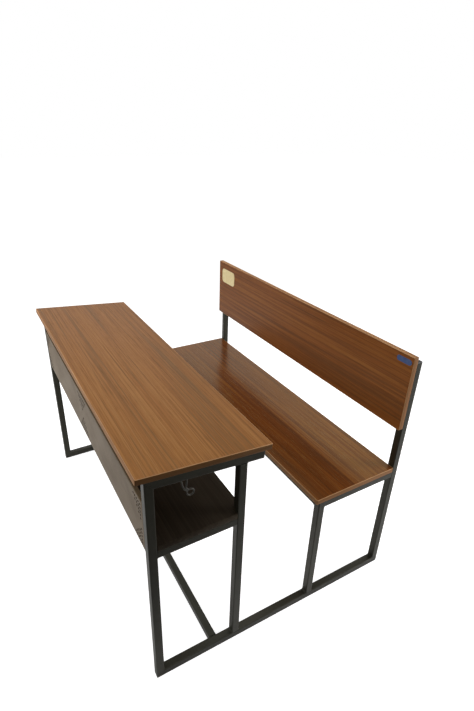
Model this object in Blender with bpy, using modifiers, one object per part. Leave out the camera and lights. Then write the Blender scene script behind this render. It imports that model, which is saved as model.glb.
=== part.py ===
# School bench: a sloping desk with a bag shelf, a seat and a backrest, on one welded frame of square tube.
# X runs along the bench, -Y is the side of the desk's front panel, +Z is up, and the floor is at Z = 0.
# Left and right are those of the person who sits on the seat and faces the desk, so left is +X.

import math

import bmesh
import bpy
from mathutils import Matrix, Vector

# Clearances
GAP = 0.0003
OVERRUN = 0.002

# Square tube of the frame
TUBE_WIDTH = 0.025
TUBE_WALL = 0.0015
TUBE_BORE_RADIUS = 0.0015
CORNER_SEGMENTS = 3
SHARP_ANGLE = math.radians(40)

# Laminated boards
BOARD_LENGTH = 1.220
BOARD_THICKNESS = 0.018
BOARD_CORE_RADIUS = 0.001
EDGE_BAND_THICKNESS = 0.002

# Desk
DESK_HEIGHT = 0.790
DESK_DEPTH = 0.386
DESK_SLOPE = math.radians(4.65)
DESK_FRONT_OVERHANG = 0.022
DESK_REAR_OVERHANG = 0.074
DESK_RAIL_SETBACK = 0.025
BAG_SPACE_HEIGHT = 0.218

# Seat and backrest
ENTRY_WIDTH = 0.193
SEAT_HEIGHT = 0.469
SEAT_DEPTH = 0.335
BENCH_LEG_SETBACK = 0.013
BACK_GAP = 0.162
BACK_HEIGHT = 0.266
UPRIGHT_DROP = 0.022

# Frame
BOARD_END_OVERHANG = 0.002
STRETCHER_SPACING = 0.048
LONG_RAIL_SETBACK = 0.030

# Front panel of sheet steel, with a folded rim and groups of round holes
PANEL_HEIGHT = 0.165
PANEL_SHEET = 0.0012
PANEL_RIM = 0.012
PANEL_LIP = 0.010
PANEL_SETBACK = 0.0005
HOLE_DIAMETER = 0.0075
HOLE_PITCH = 0.0120
HOLE_MARGIN = 0.016
HOLE_SIDES = 8

# End caps
CAP_THICKNESS = 0.003
CAP_ROUNDING = 0.0012
CAP_PLUG_LENGTH = 0.009

# Screws
SCREW_DIAMETER = 0.0044
SCREW_CLEARANCE = 0.0005
SCREW_HEAD_DIAMETER = 0.0092
SCREW_HEAD_HEIGHT = 0.0024
SCREW_CROWN_DIAMETER = 0.0052
SCREW_CHAMFER = 0.0016
SCREW_SIDES = 8
PANEL_SCREW_REACH = 0.008
PANEL_SCREW_MARGIN = 0.0008

# Bag hooks of round wire
HOOK_WIRE_DIAMETER = 0.005
HOOK_SPREAD = 0.016
HOOK_WELD_LENGTH = 0.014
HOOK_STRAIGHT = 0.020
HOOK_NECK_DROP = 0.052
HOOK_NECK_SIDE = 0.002
HOOK_RING_RADIUS = 0.0100
HOOK_RING_OFFSET = 0.0225
HOOK_LEAN = math.radians(-47)
HOOK_RING_POINTS = 15

# Places along a piece, as shares of its length
DESK_SCREW_SHARES = (0.20, 0.92)
SEAT_SCREW_SHARES = (0.16, 0.84)
SHELF_SCREW_SHARES = (0.18, 0.82)
BACK_SCREW_SHARES = (0.22, 0.72)
PANEL_SCREW_SHARES = (0.25, 0.75)
SCREW_BITE_SHARE = 0.67
HOOK_PLACE_SHARE = 0.39
LEVEL_SHARE = 0.9

# Places that follow from the sizes above
AXIS_X = Vector((1, 0, 0))
AXIS_Y = Vector((0, 1, 0))
AXIS_Z = Vector((0, 0, 1))
SLOPE_COS = math.cos(DESK_SLOPE)
SLOPE_SIN = math.sin(DESK_SLOPE)
SLOPE_TAN = math.tan(DESK_SLOPE)
DESK_ALONG = Vector((0, SLOPE_COS, -SLOPE_SIN))
DESK_UP = Vector((0, SLOPE_SIN, SLOPE_COS))

HALF_TUBE = TUBE_WIDTH / 2
TUBE_CORNER_RADIUS = TUBE_BORE_RADIUS + TUBE_WALL
FRAME_OUTER_X = BOARD_LENGTH / 2 - BOARD_END_OVERHANG
FRAME_X = FRAME_OUTER_X - HALF_TUBE
FRAME_INNER_X = FRAME_OUTER_X - TUBE_WIDTH

DESK_REACH = DESK_DEPTH * SLOPE_COS
SEAT_START = DESK_REACH + ENTRY_WIDTH
SEAT_END = SEAT_START + SEAT_DEPTH
FRAME_END = SEAT_END + GAP + TUBE_WIDTH
OVERALL_DEPTH = FRAME_END + GAP + SCREW_HEAD_HEIGHT
DESK_START_Y = -OVERALL_DEPTH / 2

FRAME_START_Y = DESK_START_Y + DESK_FRONT_OVERHANG
FRONT_LEG_Y = FRAME_START_Y + HALF_TUBE
REAR_LEG_Y = DESK_START_Y + DESK_REACH - DESK_REAR_OVERHANG - HALF_TUBE
BENCH_LEG_Y = DESK_START_Y + SEAT_START + BENCH_LEG_SETBACK + HALF_TUBE
UPRIGHT_Y = DESK_START_Y + FRAME_END - HALF_TUBE
STRETCHER_Y = REAR_LEG_Y - HALF_TUBE - STRETCHER_SPACING - HALF_TUBE
SEAT_REAR_RAIL_Y = UPRIGHT_Y - HALF_TUBE - GAP - HALF_TUBE
LONG_RAIL_FRONT_Y = FRAME_START_Y + LONG_RAIL_SETBACK
LONG_RAIL_REAR_Y = REAR_LEG_Y
SEAT_Y = DESK_START_Y + SEAT_START + SEAT_DEPTH / 2

DESK_LOW_Z = DESK_HEIGHT - BOARD_THICKNESS * SLOPE_COS
SEAT_RAIL_Z = SEAT_HEIGHT - BOARD_THICKNESS - GAP - HALF_TUBE
BACK_Z = SEAT_HEIGHT + BACK_GAP + BACK_HEIGHT / 2
UPRIGHT_TOP_Z = BACK_Z + BACK_HEIGHT / 2 - UPRIGHT_DROP - CAP_THICKNESS - GAP
SHELF_TOP_Z = DESK_LOW_Z - (FRAME_START_Y - DESK_START_Y) * SLOPE_TAN - BAG_SPACE_HEIGHT
SHELF_LOW_Z = SHELF_TOP_Z - BOARD_THICKNESS
SHELF_RAIL_Z = SHELF_LOW_Z - GAP - HALF_TUBE
PANEL_LOW_Z = SHELF_LOW_Z - PANEL_LIP
PANEL_Z = PANEL_LOW_Z + PANEL_HEIGHT / 2

SIDES = (("left", 1), ("right", -1))


# Helpers for the scene and its materials

def clear_scene():
    for thing in list(bpy.data.objects):
        bpy.data.objects.remove(thing, do_unlink=True)


def new_collection(name):
    collection = bpy.data.collections.new(name)
    bpy.context.scene.collection.children.link(collection)
    return collection


def new_material(name, colour, roughness, metallic):
    material = bpy.data.materials.new(name)
    material.use_nodes = True
    shader = material.node_tree.nodes["Principled BSDF"]
    shader.inputs["Base Color"].default_value = (*colour, 1)
    shader.inputs["Roughness"].default_value = roughness
    shader.inputs["Metallic"].default_value = metallic
    material.diffuse_color = (*colour, 1)
    return material


clear_scene()
PARTS = new_collection("school_bench")
CUTTERS = new_collection("cutters")

POWDER_COAT = new_material("powder_coat", (0.022, 0.023, 0.021), 0.42, 0.0)
DESK_LAMINATE = new_material("desk_laminate", (0.270, 0.130, 0.055), 0.45, 0.0)
SEAT_LAMINATE = new_material("seat_laminate", (0.165, 0.062, 0.025), 0.38, 0.0)
SHELF_LAMINATE = new_material("shelf_laminate", (0.100, 0.045, 0.022), 0.45, 0.0)
EDGE_BAND = new_material("edge_band", (0.300, 0.175, 0.095), 0.50, 0.0)
PANEL_PAINT = new_material("panel_paint", (0.215, 0.185, 0.145), 0.40, 0.0)
CAP_PLASTIC = new_material("cap_plastic", (0.018, 0.018, 0.018), 0.50, 0.0)
SCREW_ZINC = new_material("screw_zinc", (0.450, 0.450, 0.430), 0.35, 1.0)


# Helpers for placing and shaping

def placed(centre, along, side):
    """Matrix that puts the local z axis along one direction and the local x axis to one side."""
    z_axis = along.normalized()
    x_axis = (side - side.dot(z_axis) * z_axis).normalized()
    y_axis = z_axis.cross(x_axis)
    turn = Matrix((x_axis, y_axis, z_axis)).transposed().to_4x4()
    return Matrix.Translation(centre) @ turn


def new_part(name, mesh, material, matrix, collection=PARTS):
    part = bpy.data.objects.new(name, mesh)
    collection.objects.link(part)
    part.location = matrix.to_translation()
    part.rotation_euler = matrix.to_euler()
    if material is not None and not mesh.materials:
        mesh.materials.append(material)
    return part


def new_cutter(name, mesh, matrix):
    cutter = new_part(name, mesh, None, matrix, CUTTERS)
    cutter.hide_render = True
    cutter.display_type = "WIRE"
    return cutter


def cut(part, cutters):
    for cutter in cutters:
        modifier = part.modifiers.new(cutter.name, "BOOLEAN")
        modifier.operation = "DIFFERENCE"
        modifier.solver = "EXACT"
        modifier.object = cutter


def mesh_of(thing, name):
    """Closed mesh of an object as it is shown, smooth but for its sharp edges. The object is removed."""
    view = bpy.context.evaluated_depsgraph_get()
    mesh = bpy.data.meshes.new_from_object(thing.evaluated_get(view))
    mesh.name = name
    bpy.data.objects.remove(thing, do_unlink=True)
    work = bmesh.new()
    work.from_mesh(mesh)
    bmesh.ops.remove_doubles(work, verts=work.verts, dist=GAP / 10)
    work.to_mesh(mesh)
    work.free()
    mesh.shade_smooth()
    mesh.set_sharp_from_angle(angle=SHARP_ANGLE)
    return mesh


def box_mesh(name, size_x, size_y, size_z, radius=0, open_ends=False):
    """Box, with its four upright edges rounded where a radius is given."""
    mesh = bpy.data.meshes.new(name)
    work = bmesh.new()
    bmesh.ops.create_cube(work, size=1, matrix=Matrix.Diagonal((size_x, size_y, size_z, 1)))
    if radius > 0:
        upright = [line for line in work.edges if line.verts[0].co.z * line.verts[1].co.z < 0]
        bmesh.ops.bevel(work, geom=upright, offset=radius, offset_type="OFFSET", segments=CORNER_SEGMENTS,
                        profile=0.5, affect="EDGES", material=-1)
    if open_ends:
        ends = [face for face in work.faces if abs(face.normal.dot(AXIS_Z)) > LEVEL_SHARE]
        bmesh.ops.delete(work, geom=ends, context="FACES_ONLY")
    work.to_mesh(mesh)
    work.free()
    return mesh


def ring_mesh(name, size_x, size_y, size_z, radius, wall):
    """Wall of even thickness that goes round like a tube, with both ends open."""
    shell = bpy.data.objects.new(name, box_mesh(name, size_x, size_y, size_z, radius, open_ends=True))
    bpy.context.scene.collection.objects.link(shell)
    modifier = shell.modifiers.new("wall", "SOLIDIFY")
    modifier.thickness = wall
    modifier.offset = -1
    modifier.use_even_offset = True
    return mesh_of(shell, name)


# Square tube

def tube_mesh(name, length, slides):
    """Tube along its local z axis. A slide is how far an end runs along the tube per metre across it."""
    mesh = ring_mesh(name, TUBE_WIDTH, TUBE_WIDTH, length, TUBE_CORNER_RADIUS, TUBE_WALL)
    for vertex in mesh.vertices:
        slide = slides[1] if vertex.co.z > 0 else slides[0]
        vertex.co.z += slide * vertex.co.y
    return mesh


def square_tube(name, start, end, side=AXIS_X, neighbours=(None, None), end_slide=0, holes=()):
    """Tube between two points of its centre line. An end is mitred to its neighbour where it has one.

    A neighbour is given by its direction away from the corner.
    """
    along = (end - start).normalized()
    across = along.cross(side)
    setbacks = [0, 0]
    slides = [0, end_slide]
    for index, own in enumerate((along, -along)):
        if neighbours[index] is None:
            continue
        normal = own - neighbours[index]
        slides[index] = -across.dot(normal) / along.dot(normal)
        setbacks[index] = normal.length / own.dot(normal) * GAP / 2
    first = start + along * setbacks[0]
    last = end - along * setbacks[1]
    mesh = tube_mesh(name, (last - first).length, slides)
    tube = new_part(name, mesh, POWDER_COAT, placed((first + last) / 2, along, side))
    cut(tube, holes)


def at_side(sign, y, z):
    return Vector((sign * FRAME_X, y, z))


def under_desk(y, depth):
    """Height of a plane that lies this deep below the underside of the desk board."""
    return DESK_LOW_Z - (y - DESK_START_Y) * SLOPE_TAN - depth / SLOPE_COS


# Screws and their holes

def screw_mesh(name, reach):
    """Screw with its head below z = 0 and its tip at the reach."""
    profile = bpy.data.meshes.new(name)
    points = (
        (0, reach),
        (SCREW_DIAMETER / 2, reach - SCREW_CHAMFER),
        (SCREW_DIAMETER / 2, 0),
        (SCREW_HEAD_DIAMETER / 2, 0),
        (SCREW_CROWN_DIAMETER / 2, -SCREW_HEAD_HEIGHT),
        (0, -SCREW_HEAD_HEIGHT),
    )
    work = bmesh.new()
    corners = [work.verts.new((x, 0, z)) for x, z in points]
    for first, second in zip(corners, corners[1:]):
        work.edges.new((first, second))
    work.to_mesh(profile)
    work.free()
    turned = bpy.data.objects.new(name, profile)
    bpy.context.scene.collection.objects.link(turned)
    modifier = turned.modifiers.new("turn", "SCREW")
    modifier.steps = SCREW_SIDES
    modifier.render_steps = SCREW_SIDES
    modifier.use_merge_vertices = True
    modifier.merge_threshold = GAP / 10
    return mesh_of(turned, name)


def screws(name, seats, reach):
    """Screws whose heads rest on the given seats. Returns the cutters for their holes."""
    mesh = screw_mesh(name, reach + GAP)
    drill = bpy.data.meshes.new(name + "_drill")
    depth = OVERRUN + reach + GAP
    radius = SCREW_DIAMETER / 2 + SCREW_CLEARANCE
    work = bmesh.new()
    bmesh.ops.create_cone(work, cap_ends=True, segments=SCREW_SIDES, radius1=radius, radius2=radius,
                          depth=depth, matrix=Matrix.Translation((0, 0, depth / 2 - OVERRUN)))
    work.to_mesh(drill)
    work.free()
    holes = []
    for number, seat in enumerate(seats, 1):
        new_part(f"{name}_{number}", mesh, SCREW_ZINC, seat @ Matrix.Translation((0, 0, -GAP)))
        holes.append(new_cutter(f"{name}_hole_{number}", drill, seat))
    return holes


def screw_seats():
    """Where the screw heads rest, by the board that they hold."""
    rail_run = DESK_DEPTH - DESK_RAIL_SETBACK
    desk = []
    for share in DESK_SCREW_SHARES:
        y = DESK_START_Y + share * rail_run * SLOPE_COS
        for _, sign in SIDES:
            desk.append(placed(at_side(sign, y, under_desk(y, GAP + TUBE_WIDTH)), DESK_UP, AXIS_X))
    low = SEAT_RAIL_Z - HALF_TUBE
    seat_run = UPRIGHT_Y - BENCH_LEG_Y
    seat = []
    for share in SEAT_SCREW_SHARES:
        for _, sign in SIDES:
            seat.append(placed(at_side(sign, BENCH_LEG_Y + share * seat_run, low), AXIS_Z, AXIS_X))
    low = SHELF_RAIL_Z - HALF_TUBE
    shelf_run = REAR_LEG_Y - FRONT_LEG_Y
    shelf = []
    for share in SHELF_SCREW_SHARES:
        for _, sign in SIDES:
            shelf.append(placed(at_side(sign, FRONT_LEG_Y + share * shelf_run, low), AXIS_Z, AXIS_X))
    back = []
    for share in BACK_SCREW_SHARES:
        z = BACK_Z + (share - 0.5) * BACK_HEIGHT
        for _, sign in SIDES:
            back.append(placed(at_side(sign, UPRIGHT_Y + HALF_TUBE, z), -AXIS_Y, AXIS_X))
    panel = []
    y = FRAME_START_Y + PANEL_SETBACK + PANEL_SHEET + PANEL_SCREW_MARGIN + SCREW_HEAD_DIAMETER / 2
    for share in PANEL_SCREW_SHARES:
        z = PANEL_LOW_Z + share * PANEL_HEIGHT
        for _, sign in SIDES:
            inner = sign * (FRAME_INNER_X - GAP - PANEL_SHEET)
            panel.append(placed(Vector((inner, y, z)), sign * AXIS_X, AXIS_Y))
    return desk, seat, shelf, back, panel


DESK_SEATS, SEAT_SEATS, SHELF_SEATS, BACK_SEATS, PANEL_SEATS = screw_seats()
THROUGH = TUBE_WIDTH + GAP + SCREW_BITE_SHARE * BOARD_THICKNESS
desk_holes = screws("desk_screw", DESK_SEATS, THROUGH)
seat_holes = screws("seat_screw", SEAT_SEATS, THROUGH)
shelf_holes = screws("shelf_screw", SHELF_SEATS, THROUGH)
back_holes = screws("back_screw", BACK_SEATS, THROUGH)
panel_holes = screws("panel_screw", PANEL_SEATS, PANEL_SCREW_REACH)


# End frames

def on_side(sign, holes):
    return [hole for hole in holes if hole.location.x * sign > 0]


def end_frame(side_name, sign):
    low = HALF_TUBE
    desk_corner = at_side(sign, FRONT_LEG_Y, under_desk(FRONT_LEG_Y, GAP + HALF_TUBE))
    floor_front = at_side(sign, FRONT_LEG_Y, low)
    floor_rear = at_side(sign, UPRIGHT_Y, low)
    square_tube("floor_runner_" + side_name, floor_front, floor_rear, neighbours=(AXIS_Z, AXIS_Z))
    square_tube("desk_front_leg_" + side_name, floor_front, desk_corner, neighbours=(AXIS_Y, DESK_ALONG),
                holes=on_side(sign, panel_holes))
    run = (DESK_START_Y + DESK_REACH - FRONT_LEG_Y) / SLOPE_COS - DESK_RAIL_SETBACK
    rail_end = desk_corner + DESK_ALONG * run
    square_tube("desk_rail_" + side_name, desk_corner, rail_end, neighbours=(-AXIS_Z, None),
                holes=on_side(sign, desk_holes))
    leg_foot = at_side(sign, REAR_LEG_Y, TUBE_WIDTH + GAP)
    leg_head = at_side(sign, REAR_LEG_Y, under_desk(REAR_LEG_Y, GAP + TUBE_WIDTH + GAP))
    square_tube("desk_rear_leg_" + side_name, leg_foot, leg_head, end_slide=-SLOPE_TAN)
    reach = HALF_TUBE + GAP
    square_tube("shelf_rail_" + side_name, at_side(sign, FRONT_LEG_Y + reach, SHELF_RAIL_Z),
                at_side(sign, REAR_LEG_Y - reach, SHELF_RAIL_Z), holes=on_side(sign, shelf_holes))
    bench_corner = at_side(sign, BENCH_LEG_Y, SEAT_RAIL_Z)
    square_tube("bench_front_leg_" + side_name, at_side(sign, BENCH_LEG_Y, TUBE_WIDTH + GAP), bench_corner,
                neighbours=(None, AXIS_Y))
    square_tube("seat_rail_" + side_name, bench_corner, at_side(sign, UPRIGHT_Y - reach, SEAT_RAIL_Z),
                neighbours=(-AXIS_Z, None), holes=on_side(sign, seat_holes))
    square_tube("upright_" + side_name, floor_rear, at_side(sign, UPRIGHT_Y, UPRIGHT_TOP_Z),
                neighbours=(-AXIS_Y, None), holes=on_side(sign, back_holes))
    return rail_end


RAIL_ENDS = {sign: end_frame(side_name, sign) for side_name, sign in SIDES}


# Long rails that tie the end frames together

def long_rail(name, y, z, side):
    reach = FRAME_INNER_X - GAP
    square_tube(name, Vector((-reach, y, z)), Vector((reach, y, z)), side=side)


long_rail("stretcher", STRETCHER_Y, HALF_TUBE, AXIS_Y)
long_rail("desk_front_rail", LONG_RAIL_FRONT_Y, under_desk(LONG_RAIL_FRONT_Y, GAP + HALF_TUBE), DESK_ALONG)
long_rail("desk_rear_rail", LONG_RAIL_REAR_Y, under_desk(LONG_RAIL_REAR_Y, GAP + HALF_TUBE), DESK_ALONG)
long_rail("seat_front_rail", BENCH_LEG_Y, SEAT_RAIL_Z, AXIS_Y)
long_rail("seat_rear_rail", SEAT_REAR_RAIL_Y, SEAT_RAIL_Z, AXIS_Y)


# Boards with their edge bands

def banded_board(name, depth, material, matrix, holes):
    border = EDGE_BAND_THICKNESS + GAP
    core = box_mesh(name + "_board", BOARD_LENGTH - 2 * border, depth - 2 * border, BOARD_THICKNESS,
                    BOARD_CORE_RADIUS)
    cut(new_part(name + "_board", core, material, matrix), holes)
    band = ring_mesh(name + "_edge_band", BOARD_LENGTH, depth, BOARD_THICKNESS, BOARD_CORE_RADIUS + border,
                     EDGE_BAND_THICKNESS)
    new_part(name + "_edge_band", band, EDGE_BAND, matrix)


DESK_CORNER = Vector((0, DESK_START_Y, DESK_LOW_Z))
DESK_CENTRE = DESK_CORNER + DESK_ALONG * DESK_DEPTH / 2 + DESK_UP * BOARD_THICKNESS / 2
SEAT_CENTRE = Vector((0, SEAT_Y, SEAT_HEIGHT - BOARD_THICKNESS / 2))
BACK_CENTRE = Vector((0, UPRIGHT_Y - HALF_TUBE - GAP - BOARD_THICKNESS / 2, BACK_Z))
banded_board("desk", DESK_DEPTH, DESK_LAMINATE, placed(DESK_CENTRE, DESK_UP, AXIS_X), desk_holes)
banded_board("seat", SEAT_DEPTH, SEAT_LAMINATE, placed(SEAT_CENTRE, AXIS_Z, AXIS_X), seat_holes)
banded_board("back", BACK_HEIGHT, SEAT_LAMINATE, placed(BACK_CENTRE, -AXIS_Y, AXIS_X), back_holes)


# Bag shelf, notched round the four desk legs

def bag_shelf():
    front = FRAME_START_Y + PANEL_SETBACK + PANEL_SHEET + GAP
    front_leg_back = FRONT_LEG_Y + HALF_TUBE + GAP
    rear_leg_front = REAR_LEG_Y - HALF_TUBE - GAP
    rear = REAR_LEG_Y + HALF_TUBE - EDGE_BAND_THICKNESS - GAP
    wide = FRAME_OUTER_X - EDGE_BAND_THICKNESS - GAP
    between_rims = FRAME_INNER_X - GAP - PANEL_SHEET - GAP
    between_legs = FRAME_INNER_X - GAP
    level = Matrix.Translation((0, 0, SHELF_LOW_Z + BOARD_THICKNESS / 2))
    board = box_mesh("shelf_board", 2 * wide, rear - front, BOARD_THICKNESS)
    middle = Matrix.Translation((0, (front + rear) / 2, 0))
    board = new_part("shelf_board", board, SHELF_LAMINATE, level @ middle)
    notches = []
    for side_name, sign in SIDES:
        for place, inner, first, last in (("front", between_rims, front - OVERRUN, front_leg_back),
                                          ("rear", between_legs, rear_leg_front, rear + OVERRUN)):
            name = f"shelf_notch_{place}_{side_name}"
            reach = wide + OVERRUN - inner
            notch = box_mesh(name, reach, last - first, BOARD_THICKNESS + 2 * OVERRUN)
            centre = Vector((sign * (inner + reach / 2), (first + last) / 2, 0))
            notches.append(new_cutter(name, notch, level @ Matrix.Translation(centre)))
    cut(board, notches + shelf_holes)
    strip_length = rear_leg_front - front_leg_back
    strip = box_mesh("shelf_end_band", EDGE_BAND_THICKNESS, strip_length, BOARD_THICKNESS)
    for side_name, sign in SIDES:
        x = sign * (FRAME_OUTER_X - EDGE_BAND_THICKNESS / 2)
        place = level @ Matrix.Translation((x, front_leg_back + strip_length / 2, 0))
        new_part("shelf_end_band_" + side_name, strip, EDGE_BAND, place)
    strip = box_mesh("shelf_rear_band", 2 * between_legs, EDGE_BAND_THICKNESS, BOARD_THICKNESS)
    place = level @ Matrix.Translation((0, rear + GAP + EDGE_BAND_THICKNESS / 2, 0))
    new_part("shelf_rear_band", strip, EDGE_BAND, place)


bag_shelf()


# Front panel

def hole_places(panel_width):
    """Centres of the round holes: triangles at both ends and in the middle, above and below mid-height."""
    rows = int((PANEL_HEIGHT / 2 - HOLE_MARGIN) / HOLE_PITCH)
    places = []
    for row in range(rows):
        height = PANEL_HEIGHT / 2 - HOLE_MARGIN - row * HOLE_PITCH
        count = rows - row
        for level in (height, -height):
            for column in range(count):
                end_x = panel_width / 2 - HOLE_MARGIN - column * HOLE_PITCH
                places.append((end_x, level))
                places.append((-end_x, level))
            for column in range(1 - count, count):
                places.append((column * HOLE_PITCH, level))
    return places


def folded_sheet(name, width, height):
    """Open surface of a flat sheet with a rim folded back all round."""
    mesh = bpy.data.meshes.new(name)
    work = bmesh.new()
    bmesh.ops.create_cube(work, size=1, matrix=Matrix.Diagonal((width, height, PANEL_RIM, 1)))
    bmesh.ops.translate(work, verts=work.verts, vec=(0, 0, -PANEL_RIM / 2))
    back = [face for face in work.faces if face.normal.dot(AXIS_Z) < -LEVEL_SHARE]
    bmesh.ops.delete(work, geom=back, context="FACES_ONLY")
    work.to_mesh(mesh)
    work.free()
    return mesh


def front_panel():
    width = 2 * (FRAME_INNER_X - GAP)
    place = placed(Vector((0, FRAME_START_Y + PANEL_SETBACK, PANEL_Z)), -AXIS_Y, AXIS_X)
    panel = new_part("front_panel", folded_sheet("front_panel", width, PANEL_HEIGHT), PANEL_PAINT, place)
    modifier = panel.modifiers.new("sheet", "SOLIDIFY")
    modifier.thickness = PANEL_SHEET
    modifier.offset = -1
    modifier.use_even_offset = True
    punches = bpy.data.meshes.new("panel_punches")
    work = bmesh.new()
    for x, y in hole_places(width):
        bmesh.ops.create_cone(work, cap_ends=True, segments=HOLE_SIDES, radius1=HOLE_DIAMETER / 2,
                              radius2=HOLE_DIAMETER / 2, depth=PANEL_SHEET + 2 * OVERRUN,
                              matrix=Matrix.Translation((x, y, -PANEL_SHEET / 2)))
    work.to_mesh(punches)
    work.free()
    cut(panel, [new_cutter("panel_punches", punches, place), *panel_holes])


front_panel()


# End caps

def cap_mesh():
    """Cap with its flange above z = 0 and its plug below."""
    mesh = box_mesh("end_cap", TUBE_WIDTH, TUBE_WIDTH, CAP_THICKNESS)
    work = bmesh.new()
    work.from_mesh(mesh)
    bmesh.ops.translate(work, verts=work.verts, vec=(0, 0, CAP_THICKNESS / 2))
    uprights = [line for line in work.edges if abs(line.verts[0].co.z - line.verts[1].co.z) > GAP]
    bmesh.ops.bevel(work, geom=uprights, offset=TUBE_CORNER_RADIUS, offset_type="OFFSET",
                    segments=CORNER_SEGMENTS, profile=0.5, affect="EDGES", material=-1)
    top = [line for line in work.edges if min(corner.co.z for corner in line.verts) > CAP_THICKNESS - GAP]
    bmesh.ops.bevel(work, geom=top, offset=CAP_ROUNDING, offset_type="OFFSET", segments=2, profile=0.5,
                    affect="EDGES", material=-1)
    underside = [face for face in work.faces if face.normal.dot(AXIS_Z) < -LEVEL_SHARE]
    bmesh.ops.inset_region(work, faces=underside, thickness=TUBE_WALL + GAP, use_even_offset=True)
    plug = bmesh.ops.extrude_face_region(work, geom=underside)["geom"]
    bmesh.ops.delete(work, geom=underside, context="FACES")
    plug_corners = [item for item in plug if isinstance(item, bmesh.types.BMVert)]
    bmesh.ops.translate(work, verts=plug_corners, vec=(0, 0, -CAP_PLUG_LENGTH))
    bmesh.ops.recalc_face_normals(work, faces=work.faces)
    work.to_mesh(mesh)
    work.free()
    return mesh


def end_caps():
    mesh = cap_mesh()
    for side_name, sign in SIDES:
        rail_end = RAIL_ENDS[sign] + DESK_ALONG * GAP
        new_part("desk_rail_cap_" + side_name, mesh, CAP_PLASTIC, placed(rail_end, DESK_ALONG, AXIS_X))
        top = at_side(sign, UPRIGHT_Y, UPRIGHT_TOP_Z + GAP)
        new_part("upright_cap_" + side_name, mesh, CAP_PLASTIC, placed(top, AXIS_Z, AXIS_X))


end_caps()


# Bag hooks: one wire each, with two legs on the rail's inner face and a ring below the neck

def hook_route():
    """Points of the wire across the rail and up, from where the legs leave the rail's underside."""
    lean = Vector((math.cos(HOOK_LEAN), math.sin(HOOK_LEAN)))
    across = Vector((-lean.y, lean.x))
    strand = (HOOK_WIRE_DIAMETER + GAP) / 2
    neck = Vector((HOOK_NECK_SIDE, -HOOK_NECK_DROP))
    centre = neck + lean * HOOK_RING_OFFSET
    mouth = math.asin(strand / HOOK_RING_RADIUS)
    opening = HOOK_LEAN + math.pi
    points = [Vector((-HOOK_SPREAD / 2, HOOK_WELD_LENGTH)), Vector((-HOOK_SPREAD / 2, -HOOK_STRAIGHT)),
              neck - across * strand]
    for step in range(HOOK_RING_POINTS):
        share = step / (HOOK_RING_POINTS - 1)
        angle = opening + mouth + share * (2 * math.pi - 2 * mouth)
        points.append(centre + HOOK_RING_RADIUS * Vector((math.cos(angle), math.sin(angle))))
    points += [neck + across * strand, Vector((HOOK_SPREAD / 2, -HOOK_STRAIGHT)),
               Vector((HOOK_SPREAD / 2, HOOK_WELD_LENGTH))]
    return points


def bag_hooks():
    curve = bpy.data.curves.new("bag_hook", "CURVE")
    curve.dimensions = "3D"
    curve.bevel_depth = HOOK_WIRE_DIAMETER / 2
    curve.bevel_resolution = 2
    curve.use_fill_caps = True
    route = hook_route()
    spline = curve.splines.new("POLY")
    spline.points.add(len(route) - 1)
    for point, place in zip(spline.points, route):
        point.co = (place.x, place.y, 0, 1)
    wire = bpy.data.objects.new("bag_hook", curve)
    bpy.context.scene.collection.objects.link(wire)
    mesh = mesh_of(wire, "bag_hook")
    y = FRONT_LEG_Y + HOOK_PLACE_SHARE * (REAR_LEG_Y - FRONT_LEG_Y)
    z = under_desk(y, GAP + TUBE_WIDTH)
    for side_name, sign in SIDES:
        x = sign * (FRAME_INNER_X - GAP - HOOK_WIRE_DIAMETER / 2)
        new_part("bag_hook_" + side_name, mesh, POWDER_COAT, placed(Vector((x, y, z)), AXIS_X, AXIS_Y))


bag_hooks()
print("school bench:", len(PARTS.objects), "parts")
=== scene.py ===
import math

import bmesh
import bpy
from mathutils import Euler, Matrix, Vector


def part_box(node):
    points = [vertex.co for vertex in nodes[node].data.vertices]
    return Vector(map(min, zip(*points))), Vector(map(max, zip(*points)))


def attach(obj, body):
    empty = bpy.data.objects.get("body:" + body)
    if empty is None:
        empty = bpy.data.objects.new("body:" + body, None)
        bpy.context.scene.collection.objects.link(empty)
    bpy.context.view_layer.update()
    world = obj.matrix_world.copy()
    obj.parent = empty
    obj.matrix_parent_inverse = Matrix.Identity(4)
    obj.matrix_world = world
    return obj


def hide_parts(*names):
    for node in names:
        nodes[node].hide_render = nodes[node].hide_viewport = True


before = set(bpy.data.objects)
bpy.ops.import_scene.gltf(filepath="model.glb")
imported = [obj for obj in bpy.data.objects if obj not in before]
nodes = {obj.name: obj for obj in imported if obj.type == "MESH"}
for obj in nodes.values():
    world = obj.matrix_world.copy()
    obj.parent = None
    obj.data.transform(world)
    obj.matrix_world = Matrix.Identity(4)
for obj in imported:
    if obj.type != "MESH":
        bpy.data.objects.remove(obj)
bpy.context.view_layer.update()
print("frame loaded,", len(nodes), "nodes")


# shader helpers

class Wire:  # a node's output that can be used in an expression

    def __init__(self, nodeSet, socket):
        self.nodeSet = nodeSet
        self.socket = socket

    def math(self, operation, first, second=0.0):
        return self.nodeSet.add("ShaderNodeMath", {"operation": operation}, {0: first, 1: second})

    def __add__(self, other):
        return self.math("ADD", self, other)

    def __radd__(self, other):
        return self.math("ADD", other, self)

    def __sub__(self, other):
        return self.math("SUBTRACT", self, other)

    def __rsub__(self, other):
        return self.math("SUBTRACT", other, self)

    def __mul__(self, other):
        return self.math("MULTIPLY", self, other)

    def __rmul__(self, other):
        return self.math("MULTIPLY", other, self)

    def __abs__(self):
        return self.math("ABSOLUTE", self)


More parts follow.
